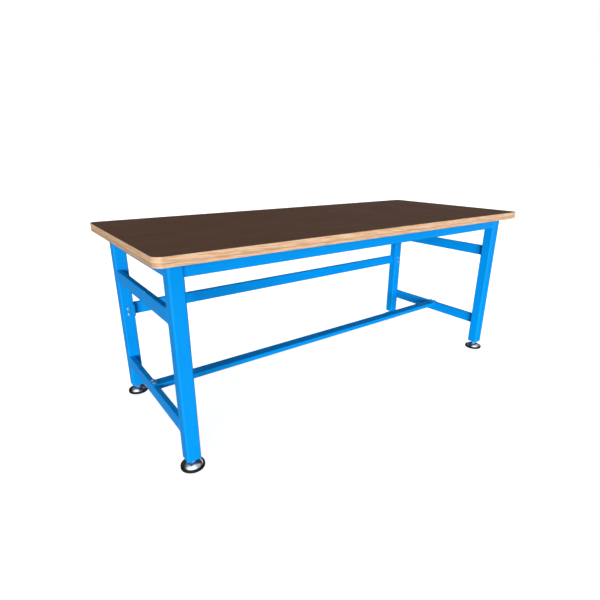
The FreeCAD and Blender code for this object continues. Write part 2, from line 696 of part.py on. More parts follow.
def check(pieces):
    """Stops if any object failed or any piece has no valid solid."""
    for item in doc.Objects:
        if "Invalid" in item.State or "Error" in item.State:
            raise RuntimeError(f"{item.Label} is {item.State}")
    for piece in pieces:
        shape = piece.Shape
        if shape.isNull() or not shape.isValid() or not shape.Solids:
            raise RuntimeError(f"{piece.Label} has no valid solid")


pieces = worktop() + side_frames() + long_rails() + frame_fasteners() + levelling_feet()
doc.recompute()
check(pieces)
os.makedirs("parts", exist_ok=True)
for piece in pieces:
    piece.Shape.exportStep(f"parts/{piece.Label}.step")
    print(f"{piece.Label}: {len(piece.Shape.Solids)} solids, {piece.Shape.Volume:.0f} mm3")
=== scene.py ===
import json
import math
import bmesh
import bpy
from mathutils import Matrix, Vector


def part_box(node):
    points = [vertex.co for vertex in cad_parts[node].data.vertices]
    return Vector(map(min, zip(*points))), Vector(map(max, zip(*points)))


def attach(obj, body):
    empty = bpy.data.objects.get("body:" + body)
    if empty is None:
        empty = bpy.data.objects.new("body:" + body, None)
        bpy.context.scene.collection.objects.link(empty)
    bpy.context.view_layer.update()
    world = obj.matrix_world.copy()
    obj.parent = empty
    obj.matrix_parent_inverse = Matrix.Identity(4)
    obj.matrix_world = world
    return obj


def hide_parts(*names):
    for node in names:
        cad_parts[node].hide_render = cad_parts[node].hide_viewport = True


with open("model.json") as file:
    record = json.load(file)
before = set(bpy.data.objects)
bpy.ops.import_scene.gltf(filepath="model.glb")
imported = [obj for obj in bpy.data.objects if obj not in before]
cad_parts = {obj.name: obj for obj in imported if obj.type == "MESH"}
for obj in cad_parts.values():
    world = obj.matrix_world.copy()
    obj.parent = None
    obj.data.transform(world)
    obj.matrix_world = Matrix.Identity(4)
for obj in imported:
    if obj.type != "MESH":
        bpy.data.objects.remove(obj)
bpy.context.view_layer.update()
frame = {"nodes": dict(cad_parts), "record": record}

# A workshop bench: brown film on a plywood worktop, a blue powder-coated tube frame with bolted rails,
# and four screw feet of rubber and chrome. Lengths are in metres.
MM = 0.001

# meshes; a hexagon's corners fall on every eighth step
MERGE_DISTANCE = 0.001 * MM
SLIVER_AREA = 1e-12
HEXAGON_STEPS = 48
LATHE_STEPS = 96

# worktop
FILM_EDGE_EASE = 0.25 * MM
BOARD_EDGE_EASE = 0.4 * MM
WORKTOP_CORNER = 35 * MM
WORKTOP_CORNER_STEPS = 24
PLY_THICKNESS = 1.4 * MM

# hexagons: the chamfer circle as a share of the width across flats, and its slope
CHAMFER_CIRCLE_SHARE = 0.95
CHAMFER_SLOPE = math.tan(math.radians(30))

# frame bolts and their washers
BOLT_FLATS = 13 * MM
BOLT_HEAD_HEIGHT = 5.3 * MM
BOLT_RADIUS = 4 * MM
BOLT_LENGTH = 20 * MM
BOLT_POINT = 1.1 * MM
BOLT_SPACING = 30 * MM
WASHER_RADIUS = 8 * MM
WASHER_HOLE = 4.2 * MM
WASHER_THICKNESS = 1.6 * MM
WASHER_STEPS = 48

# worktop screws, and their places as shares of the rail's length, from its middle
SCREW_HEAD_RADIUS = 5.5 * MM
SCREW_HEAD_HEIGHT = 3 * MM
SCREW_SOCKET_FLATS = 0.72 * SCREW_HEAD_RADIUS
SCREW_RADIUS = 2.3 * MM
SCREW_LENGTH = 30 * MM
LONG_RAIL_SCREW_SHARES = (-0.42, -0.14, 0.14, 0.42)
SIDE_RAIL_SCREW_SHARES = (-0.3, 0.3)

# how far a fastener may be turned either way, and the seed that settles it
LARGEST_TURN = math.pi
TURN_SEED = 3

# rails and their brackets
RAIL_WALL = 2 * MM
RAIL_CORNER = 4 * MM
RAIL_CORNER_STEPS = 4
BRACKET_MARGIN = 15 * MM
BRACKET_EASE = 0.6 * MM
BRACKET_SET_BACK = 3 * MM
SET_BACK_REACH = 1 * MM
FLAT_ANGLE = math.radians(1)
CUT_EDGE_ANGLE = math.radians(60)

# welds on the side frames
WELD_WIDTH = 3.8 * MM
WELD_PITCH = 1.1 * MM
WELD_STEP = 0.45 * MM
GAP_INSET = 1.4 * MM

# legs and screw feet
LEG_CORNER = 8 * MM
LEG_CORNER_STEPS = 10
PLATE_EASE = 0.5 * MM
SPINDLE_RADIUS = 8 * MM
SPINDLE_BORE = 8.05 * MM
SPINDLE_FLATS = 22 * MM
THREAD_PITCH = 2 * MM
THREAD_DEPTH = 1.1 * MM
DISC_CLEARANCE = 0.1 * MM
NUT_FLATS = 24 * MM
LOCK_WASHER_STEPS = 64

# camera, fitted to the photograph's frame of 600 x 600
CAMERA_PLACE = (-1.4903, -1.7824, 1.1978)
CAMERA_YAW = 0.6419
CAMERA_PITCH = -0.3498
CAMERA_ROLL = 0.0067
CAMERA_SENSOR = 36
CAMERA_LENS = 25.175
CAMERA_SHIFT = (-0.0066, 0.0198)
CAMERA_REACH = 200

# room
LIGHT_DISTANCE = 9
FLOOR_RADIUS = 60
BLACK = (0, 0, 0, 1)
WHITE = (1, 1, 1, 1)

LONG_RAILS = ("front_rail", "rear_top_rail", "rear_middle_rail", "stretcher")
SIDES = ("left", "right")
ENDS = ("front", "rear")
CORNERS = [f"{end}_{side}" for side in SIDES for end in ENDS]


# nodes

def new_material(name, **sockets):
    """A material with one Principled shader, its sockets set by name."""
    material = bpy.data.materials.new(name)
    material.use_nodes = True
    shader = material.node_tree.nodes["Principled BSDF"]
    for socket, setting in sockets.items():
        shader.inputs[socket.replace("_", " ")].default_value = setting
    return material, material.node_tree, shader


def add_node(tree, kind, inputs=(), **settings):
    """A node with its settings made and its inputs set or linked."""
    node = tree.nodes.new(kind)
    for key, setting in settings.items():
        setattr(node, key, setting)
    for key, given in dict(inputs).items():
        if isinstance(given, bpy.types.NodeSocket):
            tree.links.new(given, node.inputs[key])
        else:
            node.inputs[key].default_value = given
    return node


def object_place(tree, stretch=(1, 1, 1)):
    """Object coordinates, scaled differently along each axis."""
    place = add_node(tree, "ShaderNodeTexCoord").outputs["Object"]
    return add_node(tree, "ShaderNodeMapping", {"Vector": place, "Scale": stretch}).outputs["Vector"]


def split(tree, vector):
    """The X, Y and Z of a vector."""
    return add_node(tree, "ShaderNodeSeparateXYZ", {"Vector": vector}).outputs


def sloping_place(tree, along, across, slope):
    """Object coordinates for a figure that runs along the bench's edges, a little off level."""
    parts = split(tree, object_place(tree))
    run = calculate(tree, "ADD", parts["X"], parts["Y"])
    height = calculate(tree, "ADD", parts["Z"], calculate(tree, "MULTIPLY", run, slope))
    place = {0: calculate(tree, "MULTIPLY", parts["X"], along),
             1: calculate(tree, "MULTIPLY", parts["Y"], along),
             2: calculate(tree, "MULTIPLY", height, across)}
    return add_node(tree, "ShaderNodeCombineXYZ", place).outputs["Vector"]


def noise(tree, place, scale, detail=3, roughness=0.5):
    node = add_node(tree, "ShaderNodeTexNoise",
                    {"Vector": place, "Scale": scale, "Detail": detail, "Roughness": roughness})
    return node.outputs["Fac"]


def map_range(tree, source, low, high, to_low, to_high):
    node = add_node(tree, "ShaderNodeMapRange",
                    {"Value": source, "From Min": low, "From Max": high, "To Min": to_low, "To Max": to_high})
    return node.outputs["Result"]


def vary(tree, pattern, first, second):
    """A noise pattern's usual range, spread between two values."""
    return map_range(tree, pattern, 0.3, 0.7, first, second)


def mix_colours(tree, share, first, second, blend="MIX"):
    node = add_node(tree, "ShaderNodeMix", {0: share, 6: first, 7: second}, data_type="RGBA", blend_type=blend)
    return node.outputs[2]


def calculate(tree, operation, first, second=0.0):
    return add_node(tree, "ShaderNodeMath", {0: first, 1: second}, operation=operation).outputs[0]


def distance(tree, first, second):
    return calculate(tree, "ABSOLUTE", calculate(tree, "SUBTRACT", first, second))


def ramp(tree, source, stops):
    """A grey ramp through (position, brightness) stops."""
    node = add_node(tree, "ShaderNodeValToRGB", {"Fac": source})
    elements = node.color_ramp.elements
    while len(elements) < len(stops):
        elements.new(0.5)
    for element, (position, grey) in zip(elements, stops):
        element.position = position
        element.color = (grey, grey, grey, 1)
    return node.outputs["Color"]


def paint(tree, shader, colour, roughness):
    tree.links.new(colour, shader.inputs["Base Color"])
    tree.links.new(roughness, shader.inputs["Roughness"])


def bump(tree, shader, height, strength, depth):
    node = add_node(tree, "ShaderNodeBump", {"Height": height, "Strength": strength, "Distance": depth})
    tree.links.new(node.outputs["Normal"], shader.inputs["Normal"])


# materials

def powder_coat():
    """Satin azure powder coat with a fine orange peel."""
    material, tree, shader = new_material("azure_powder_coat", Specular_IOR_Level=0.1)
    place = object_place(tree)
    cloud = noise(tree, place, 7, 4)
    peel = noise(tree, place, 700, 2)
    colour = mix_colours(tree, vary(tree, cloud, 0, 1), (0.0, 0.28, 0.8, 1), (0.0, 0.3, 0.85, 1))
    paint(tree, shader, colour, vary(tree, peel, 0.33, 0.44))
    bump(tree, shader, peel, 0.12, 0.4 * MM)
    return material


def phenolic_film():
    """Matte brown film, faintly mottled by the veneer under it and rubbed in use."""
    material, tree, shader = new_material("brown_phenolic_film", Specular_IOR_Level=0.08)
    grain = noise(tree, object_place(tree, (1.2, 14, 1)), 3, 6, 0.55)
    speck = noise(tree, object_place(tree), 420, 2)
    rubbed = noise(tree, object_place(tree, (4, 4, 1)), 1, 5, 0.6)
    veneer = mix_colours(tree, map_range(tree, grain, 0.35, 0.65, 0, 1),
                         (0.052, 0.0285, 0.0195, 1), (0.062, 0.0345, 0.024, 1))
    colour = mix_colours(tree, map_range(tree, speck, 0.4, 0.75, 0, 0.4), veneer, (0.085, 0.05, 0.037, 1))
    sheen = calculate(tree, "ADD", vary(tree, speck, -0.05, 0.05),
                      map_range(tree, rubbed, 0.35, 0.65, 0.5, 0.62))
    paint(tree, shader, colour, sheen)
    bump(tree, shader, speck, 0.15, 0.2 * MM)
    return material


def plywood(glue_level):
    """Birch plywood on its edges: plies in turn along and across the grain, and the glue between the boards."""
    material, tree, shader = new_material("birch_plywood_edge", Specular_IOR_Level=0.4)
    height = split(tree, object_place(tree))["Z"]
    wave = noise(tree, object_place(tree, (6, 6, 1)), 1, 3)
    wavy = calculate(tree, "ADD", height, map_range(tree, wave, 0.25, 0.75, -0.5 * MM, 0.5 * MM))
    ply = calculate(tree, "PINGPONG", calculate(tree, "MULTIPLY", wavy, 1 / PLY_THICKNESS), 1.0)
    crosswise = map_range(tree, ply, 0.44, 0.56, 0, 1)

    # the plies that show long grain on the front show end grain on the ends
    facing = add_node(tree, "ShaderNodeTexCoord").outputs["Normal"]
    turned = map_range(tree, calculate(tree, "ABSOLUTE", split(tree, facing)["X"]), 0.4, 0.9, 0, 1)
    both = calculate(tree, "MULTIPLY", calculate(tree, "MULTIPLY", crosswise, turned), 2.0)
    end_grain = calculate(tree, "SUBTRACT", calculate(tree, "ADD", crosswise, turned), both)
    streak = noise(tree, object_place(tree, (26, 26, 800)), 1, 5, 0.6)
    pores = noise(tree, object_place(tree), 1500, 2)
    long_colour = mix_colours(tree, vary(tree, streak, 0, 1), (0.93, 0.7, 0.485, 1), (0.83, 0.575, 0.37, 1))
    end_colour = mix_colours(tree, map_range(tree, pores, 0.4, 0.7, 0, 1),
                             (0.78, 0.51, 0.325, 1), (0.58, 0.36, 0.215, 1))
    plies = mix_colours(tree, end_grain, long_colour, end_colour)

    # darker figure, painted shade on the lower board's ends, a thin joint at each ply, the glue with its stain
    figure = noise(tree, sloping_place(tree, 14, 260, 0.035), 1, 4, 0.6)
    toned = mix_colours(tree, map_range(tree, figure, 0.38, 0.56, 0.85, 0), plies, (0.58, 0.3, 0.145, 1))
    # painted shade: the lower board is darker on the worktop's ends, as if in the shade under the edge
    lower = map_range(tree, height, glue_level - 1 * MM, glue_level, 0.3, 0)
    shaded_lower_ends = mix_colours(tree, calculate(tree, "MULTIPLY", lower, turned), toned, (0.38, 0.24, 0.15, 1))
    joint = map_range(tree, distance(tree, ply, 0.5), 0.0, 0.1, 0.35, 0)
    jointed = mix_colours(tree, joint, shaded_lower_ends, (0.38, 0.2, 0.1, 1))
    from_glue = distance(tree, height, glue_level)
    glue = calculate(tree, "ADD", map_range(tree, from_glue, 0.3 * MM, 0.7 * MM, 0.35, 0),
                     map_range(tree, from_glue, 0.7 * MM, 4 * MM, 0.35, 0))
    colour = mix_colours(tree, glue, jointed, (0.3, 0.14, 0.06, 1))
    paint(tree, shader, colour, vary(tree, streak, 0.34, 0.48))
    bump(tree, shader, streak, 0.2, 0.3 * MM)
    return material


def clouded(name, cloud_scale, cloud_detail, colours, roughness, **sockets):
    """A material whose colour and roughness drift between two settings with one cloud."""
    material, tree, shader = new_material(name, **sockets)
    cloud = noise(tree, object_place(tree), cloud_scale, cloud_detail)
    paint(tree, shader, mix_colours(tree, vary(tree, cloud, 0, 1), *colours), vary(tree, cloud, *roughness))
    return material, tree, shader


def zinc():
    """Blue-passivated zinc plating, a little milky, with a faint cloud."""
    material, tree, shader = clouded("zinc_plating", 260, 3, ((0.18, 0.44, 0.72, 1), (0.34, 0.6, 0.86, 1)),
                                     (0.22, 0.34), Metallic=0.6)
    bump(tree, shader, noise(tree, object_place(tree), 1800, 2), 0.1, 0.1 * MM)
    return material


def plain_steel():
    """Bare steel, dulled by the heat of the weld."""
    return clouded("plain_steel", 180, 4, ((0.32, 0.31, 0.30, 1), (0.45, 0.44, 0.43, 1)),
                   (0.4, 0.6), Metallic=1.0)[0]


def chrome():
    """Polished chrome, a little hazed."""
    return clouded("polished_chrome", 90, 3, ((0.93, 0.95, 0.95, 1), (0.87, 0.9, 0.9, 1)),
                   (0.2, 0.28), Metallic=1.0)[0]


def rubber():
    """Black rubber with a moulded grain."""
    material, tree, shader = clouded("black_rubber", 120, 4, ((0.004, 0.0045, 0.005, 1), (0.01, 0.011, 0.012, 1)),
                                     (0.45, 0.62), Specular_IOR_Level=0.2)
    bump(tree, shader, noise(tree, object_place(tree), 1500, 2), 0.25, 0.2 * MM)
    return material


FINISHES = {
    "blue_powder_coat": powder_coat(),
    "brown_film": phenolic_film(),
    "birch_plywood": plywood(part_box("lower_board")[1].z),
    "zinc_plate": zinc(),
    "plain_steel": plain_steel(),
    "chrome_plate": chrome(),
    "black_rubber": rubber(),
}


# pieces

def new_object(name, data):
    """An object at the origin, in the scene."""
    made = bpy.data.objects.new(name, data)
    bpy.context.scene.collection.objects.link(made)
    return made


def to_object(name, bm, sharp=35):
    """An object from a bmesh, shaded smooth up to an angle in degrees."""
    mesh = bpy.data.meshes.new(name)
    bm.to_mesh(mesh)
    bm.free()
    mesh.shade_smooth()
    mesh.set_sharp_from_angle(angle=math.radians(sharp))
    return new_object(name, mesh)


def wire_object(name, points, edges=()):
    """Loose points and edges for a node tree to build on."""
    mesh = bpy.data.meshes.new(name)
    mesh.from_pydata(points, edges, [])
    return new_object(name, mesh)


def fit_piece(piece, body, slot, *nodes):
    """Finishes a piece: its material, the body it rides on and the nodes it stands for."""
    if not piece.data.materials:
        piece.data.materials.append(FINISHES[slot])
    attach(piece, body)
    if nodes:
        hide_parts(*nodes)


def flatten_shading(piece):
    """Keeps large flat faces flat to the eye beside their eased edges."""
    piece.modifiers.new("flat_faces", "WEIGHTED_NORMAL").keep_sharp = True
    return piece


# shapes

def skin(rings, closed=True):
    """Faces between rings of points, and caps unless the last ring joins the first."""
    bm = bmesh.new()
    loops = [[bm.verts.new(point) for point in ring] for ring in rings]
    pairs = list(zip(loops, loops[1:]))
    if closed:
        pairs.append((loops[-1], loops[0]))
    for lower, upper in pairs:
        for index in range(len(lower)):
            following = (index + 1) % len(lower)
            bm.faces.new((lower[index], lower[following], upper[following], upper[index]))
    if not closed:
        bm.faces.new(list(reversed(loops[0])))
        bm.faces.new(loops[-1])
    return bm


def turn_angles(steps):
    return [2 * math.pi * step / steps for step in range(steps)]


def lathe(centre, profile, steps=LATHE_STEPS):
    """Turns a closed profile of (radius, height) round a vertical axis; points on the axis become poles."""
    bm = skin([[(centre[0] + radius * math.cos(angle), centre[1] + radius * math.sin(angle), centre[2] + height)
                for radius, height in profile] for angle in turn_angles(steps)])
    bmesh.ops.remove_doubles(bm, verts=bm.verts, dist=MERGE_DISTANCE)
    slivers = [face for face in bm.faces if face.calc_area() < SLIVER_AREA]
    bmesh.ops.delete(bm, geom=slivers, context="FACES_ONLY")
    bmesh.ops.delete(bm, geom=[edge for edge in bm.edges if not edge.link_faces], context="EDGES")
    bmesh.ops.recalc_face_normals(bm, faces=bm.faces)
    return bm


def arc(centre, radius, start, end, steps):
    """Points of an arc in the profile plane, angles in degrees."""
    angles = [math.radians(start + (end - start) * step / steps) for step in range(steps + 1)]
    return [(centre[0] + radius * math.cos(angle), centre[1] + radius * math.sin(angle)) for angle in angles]


def dome(start, end, radius, steps=20):
    """Arc between two profile points that bulges outwards and up."""
    middle = Vector(((start[0] + end[0]) / 2, (start[1] + end[1]) / 2))
    chord = Vector((end[0] - start[0], end[1] - start[1]))
    inward = Vector((-chord.y, chord.x)).normalized()
    centre = middle + inward * math.sqrt(radius ** 2 - (chord.length / 2) ** 2)
    first = math.degrees(math.atan2(start[1] - centre.y, start[0] - centre.x))
    last = math.degrees(math.atan2(end[1] - centre.y, end[0] - centre.x))
    return arc(centre, radius, first, last, steps)


def round_rectangle(low, high, radius, steps, inset=0):
    """Points round a rectangle with round corners, given by two opposite corners and drawn in by an inset."""
    points = []
    for turn, (x, y) in enumerate((high, (low[0], high[1]), low, (high[0], low[1]))):
        centre_x = x - math.copysign(radius, x - (low[0] + high[0]) / 2)
        centre_y = y - math.copysign(radius, y - (low[1] + high[1]) / 2)
        for step in range(steps + 1):
            angle = math.pi / 2 * (turn + step / steps)
            reach = radius - inset
            points.append((centre_x + reach * math.cos(angle), centre_y + reach * math.sin(angle)))
    return points


def circle_ring(radius, level):
    return [(radius * math.cos(angle), radius * math.sin(angle), level) for angle in turn_angles(HEXAGON_STEPS)]


def hexagon_rings(flats, bottom, top, chamfer_below=False, chamfer_above=False):
    """Rings of a hexagon prism whose corners are turned off at one or both ends."""
    circle = flats / 2 * CHAMFER_CIRCLE_SHARE
    rings = [[], [], [], []]
    for angle in turn_angles(HEXAGON_STEPS):
        facet = (angle % (math.pi / 3)) - math.pi / 6
        reach = flats / 2 / math.cos(facet)
        drop = (reach - circle) * CHAMFER_SLOPE
        for ring, radius, level in (
            (rings[0], circle if chamfer_below else reach, bottom),
            (rings[1], reach, bottom + (drop if chamfer_below else 0)),
            (rings[2], reach, top - (drop if chamfer_above else 0)),
            (rings[3], circle if chamfer_above else reach, top),
        ):
            ring.append((radius * math.cos(angle), radius * math.sin(angle), level))
    if not chamfer_below:
        rings.pop(0)
    return rings


def shift_rings(rings, centre):
    return [[(x + centre[0], y + centre[1], z + centre[2]) for x, y, z in ring] for ring in rings]


def on_axis(low, high, level=0):
    """The point of a box's upright axis at a level."""
    return (low.x + high.x) / 2, (low.y + high.y) / 2, level


# geometry trees

def start_tree(name, **inputs):
    """A geometry tree with one result and the named inputs, and the sockets that give those inputs."""
    tree = bpy.data.node_groups.new(name, "GeometryNodeTree")
    for label, kind in inputs.items():
        tree.interface.new_socket(label, in_out="INPUT", socket_type="NodeSocket" + kind)
    tree.interface.new_socket("Result", in_out="OUTPUT", socket_type="NodeSocketGeometry")
    return tree, tree.nodes.new("NodeGroupInput").outputs


def end_tree(tree, shape, finish):
    """Ends a geometry tree in real meshes of one material."""
    real = add_node(tree, "GeometryNodeRealizeInstances", {"Geometry": shape})
    finished = add_node(tree, "GeometryNodeSetMaterial",
                        {"Geometry": real.outputs["Geometry"], "Material": finish})
    result = tree.nodes.new("NodeGroupOutput")
    tree.links.new(finished.outputs["Geometry"], result.inputs["Result"])
    return tree


def run_tree(name, base, tree, settings):
    """Runs a node tree on a base object and keeps the result as a plain mesh object."""
    modifier = base.modifiers.new("shape", "NODES")
    modifier.node_group = tree
    for item in tree.interface.items_tree:
        if item.in_out == "INPUT" and item.name in settings:
            modifier[item.identifier] = settings[item.name]
    depsgraph = bpy.context.evaluated_depsgraph_get()
    mesh = bpy.data.meshes.new_from_object(base.evaluated_get(depsgraph))
    bpy.data.objects.remove(base)
    mesh.name = name
    return new_object(name, mesh)


# worktop

def worktop_layer(node, slot, ease_below=0, ease_above=0):
    """One sheet of the worktop; an edge that isn't eased takes one ring instead of two."""
    low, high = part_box(node)
    steps = dict.fromkeys(((ease_below, low.z), (0, low.z + ease_below),
                           (0, high.z - ease_above), (ease_above, high.z)))
    rings = [[(x, y, level)
              for x, y in round_rectangle(low.xy, high.xy, WORKTOP_CORNER, WORKTOP_CORNER_STEPS, inset)]
             for inset, level in steps]
    fit_piece(to_object(node + "_sheet", skin(rings, closed=False)), "frame", slot, node)


# repeated fasteners

def hexagon_bolt():
    """A hexagon bolt with its bearing face at the washer's top, over a plain shank."""
    end = WASHER_THICKNESS - BOLT_LENGTH
    rings = [circle_ring(BOLT_RADIUS - BOLT_POINT, end), circle_ring(BOLT_RADIUS, end + BOLT_POINT),
             circle_ring(BOLT_RADIUS, WASHER_THICKNESS)]
    rings += hexagon_rings(BOLT_FLATS, WASHER_THICKNESS, WASHER_THICKNESS + BOLT_HEAD_HEIGHT, chamfer_above=True)
    return to_object("bolt_template", skin(rings, closed=False), sharp=20)


def flat_washer():
    """A flat washer, eased a little on its upper side."""
    ease = WASHER_THICKNESS / 8
    profile = [
        (WASHER_HOLE, 0), (WASHER_RADIUS, 0), (WASHER_RADIUS, WASHER_THICKNESS - 2 * ease),
        (WASHER_RADIUS - 2 * ease, WASHER_THICKNESS), (WASHER_HOLE + ease, WASHER_THICKNESS),
        (WASHER_HOLE, WASHER_THICKNESS - ease),
    ]
    return to_object("washer_template", lathe((0, 0, 0), profile, WASHER_STEPS), sharp=30)


def pan_screw():
    """A pan-head wood screw, point up, with a hexagon socket in its head."""
    rings = [circle_ring(SCREW_RADIUS / 4, SCREW_LENGTH),
             circle_ring(SCREW_RADIUS, SCREW_LENGTH - 3 * SCREW_RADIUS),
             circle_ring(SCREW_RADIUS, 0), circle_ring(SCREW_HEAD_RADIUS, 0)]
    for share in (0.3, 0.6, 0.85, 1):
        radius = SCREW_HEAD_RADIUS * math.sqrt(1 - (share * 0.8) ** 2)
        rings.append(circle_ring(radius, -SCREW_HEAD_HEIGHT * share))
    socket = hexagon_rings(SCREW_SOCKET_FLATS, 0, -SCREW_HEAD_HEIGHT)[-1]
    rings += [socket, [(x, y, -SCREW_HEAD_HEIGHT / 3) for x, y, _ in socket]]
    bm = skin(rings, closed=False)
    bmesh.ops.recalc_face_normals(bm, faces=bm.faces)
    return to_object("screw_template", bm, sharp=30)


def bolt_sites():
    """Where each frame bolt meets its bracket and the way its head faces."""
    sites = []
    for rail in ("front_rail", "rear_top_rail", "rear_middle_rail"):
        for side in SIDES:
            low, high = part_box(f"{rail}_{side}_bracket")
            inward = 1 if rail == "front_rail" else -1
            face = high.y if inward > 0 else low.y
            across = low.x + BRACKET_MARGIN if side == "left" else high.x - BRACKET_MARGIN
            middle = (low.z + high.z) / 2
            for way in (-1, 1):
                sites.append(((across, face, middle + way * BOLT_SPACING / 2), (0, inward, 0)))
    for side in SIDES:
        _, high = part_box(f"stretcher_{side}_bracket")
        rail_low, rail_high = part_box(f"{side}_low_rail")
        for way in (-1, 1):
            sites.append((((rail_low.x + rail_high.x) / 2, way * BOLT_SPACING / 2, high.z), (0, 0, 1)))
    return sites


def screw_sites():
    """Where the worktop screws' heads sit, inside the top rails, and the way their points face."""
    sites = []
    for rail in ("front_rail", "rear_top_rail"):
        low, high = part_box(rail)
        for share in LONG_RAIL_SCREW_SHARES:
            sites.append(((share * (high.x - low.x), (low.y + high.y) / 2, high.z - RAIL_WALL), (0, 0, 1)))
    for side in SIDES:
        low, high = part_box(f"{side}_top_rail")
        for share in SIDE_RAIL_SCREW_SHARES:
            sites.append((((low.x + high.x) / 2, share * (high.y - low.y), high.z - RAIL_WALL), (0, 0, 1)))
    return sites


def fastener_tree():
    """Puts one fastener on every point, facing the point's own way and turned at random."""
    tree, given = start_tree("fastener_on_every_point", Points="Geometry", Fastener="Object", Turn="Float",
                             Seed="Int", Finish="Material")
    facing = add_node(tree, "GeometryNodeInputNamedAttribute", {"Name": "facing"}, data_type="FLOAT_VECTOR")
    align = add_node(tree, "FunctionNodeAlignRotationToVector", {"Vector": facing.outputs[0]}, axis="Z")
    least = calculate(tree, "MULTIPLY", given["Turn"], -1.0)
    turn = add_node(tree, "FunctionNodeRandomValue",
                    {"Min": least, "Max": given["Turn"], "Seed": given["Seed"]}, data_type="FLOAT")
    spin = add_node(tree, "FunctionNodeAxisAngleToRotation", {"Angle": turn.outputs["Value"], "Axis": (0, 0, 1)})
    rotation = add_node(tree, "FunctionNodeRotateRotation",
                        {"Rotation": align.outputs[0], "Rotate By": spin.outputs[0]}, rotation_space="LOCAL")
    shape = add_node(tree, "GeometryNodeObjectInfo", {"Object": given["Fastener"], "As Instance": True})
    placed = add_node(tree, "GeometryNodeInstanceOnPoints",
                      {"Points": given["Points"], "Instance": shape.outputs["Geometry"],
                       "Rotation": rotation.outputs[0]})
    return end_tree(tree, placed.outputs["Instances"], given["Finish"])


def fasteners():
    """The frame bolts, their washers and the worktop screws, each kind as one piece."""
    tree = fastener_tree()
    for node, ending, shape, sites in (("frame_bolts", "_hexagon", hexagon_bolt, bolt_sites()),
                                       ("frame_washers", "_flat", flat_washer, bolt_sites()),
                                       ("worktop_screws", "_pan", pan_screw, screw_sites())):
        template = shape()
        cloud = wire_object(node + ending + "_points", [place for place, _ in sites])
        facing = cloud.data.attributes.new("facing", "FLOAT_VECTOR", "POINT")
        for index, (_, way) in enumerate(sites):
            facing.data[index].vector = way
        piece = run_tree(node + ending, cloud, tree,
                         {"Fastener": template, "Turn": LARGEST_TURN, "Seed": TURN_SEED,
                          "Finish": FINISHES["zinc_plate"]})
        bpy.data.objects.remove(template)
        fit_piece(piece, "frame", "zinc_plate", node)


# brackets

def bracket(node):
    """An angle bracket with its cut edges eased, but not the rims of its bolt holes, which the washers cover.

    A long rail's bracket sits back from the rail's face, so that a dark seam shows beside the leg.
    """
    bm = bmesh.new()
    bm.from_mesh(frame["nodes"][node].data)
    bmesh.ops.remove_doubles(bm, verts=bm.verts, dist=MERGE_DISTANCE)
    bmesh.ops.dissolve_limit(bm, angle_limit=FLAT_ANGLE, verts=bm.verts, edges=bm.edges)
    sites = [Vector(place) for place, _ in bolt_sites()]
    rim_reach = BOLT_FLATS / 2

    def is_cut_edge(edge):
        sharp = len(edge.link_faces) == 2 and edge.calc_face_angle() > CUT_EDGE_ANGLE
        return sharp and all(min((corner.co - site).length for site in sites) > rim_reach
                             for corner in edge.verts)

    bmesh.ops.bevel(bm, geom=[edge for edge in bm.edges if is_cut_edge(edge)], offset=BRACKET_EASE,
                    offset_type="OFFSET", segments=2, profile=0.5, affect="EDGES", clamp_overlap=True)
    bmesh.ops.triangulate(bm, faces=[face for face in bm.faces if len(face.verts) > 4])
    if not node.startswith("stretcher"):
        low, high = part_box(node)
        face = max(low.y, high.y, key=abs)
        for corner in bm.verts:
            if abs(corner.co.y - face) < SET_BACK_REACH:
                corner.co.y -= math.copysign(BRACKET_SET_BACK, face)
    fit_piece(flatten_shading(to_object(node + "_eased", bm, sharp=50)), "frame", "blue_powder_coat", node)


def brackets():
    for rail in LONG_RAILS:
        for side in SIDES:
            bracket(f"{rail}_{side}_bracket")


# welds

def rail_end_path(low, high, y, open_top):
    """The path round a side rail's end, without the side that lies against the worktop if its top is open."""
    path = [(x, y, z) for x, z in round_rectangle((low.x, low.z), (high.x, high.z), RAIL_CORNER,
                                                  RAIL_CORNER_STEPS)]
    if open_top:
        top = high.z - RAIL_CORNER / 2
        start = next(index for index, point in enumerate(path) if point[2] >= top)
        path = [point for point in path[start:] + path[:start] if point[2] < top]
    return path


def seams():
    """Paths round the side rails' ends, and up the gap at each leg's round corner; True where a path closes."""
    paths = []
    for side in SIDES:
        for rail in ("top", "middle", "low"):
            low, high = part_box(f"{side}_{rail}_rail")
            outer = low.x if side == "left" else high.x
            gap_x = outer - math.copysign(GAP_INSET, outer)
            for y in (low.y, high.y):
                open_top = rail == "top"
                paths.append((rail_end_path(low, high, y, open_top), not open_top))
                gap_y = y + math.copysign(GAP_INSET, y)
                paths.append(([(gap_x, gap_y, low.z + RAIL_CORNER), (gap_x, gap_y, high.z - RAIL_CORNER)], False))
    return paths


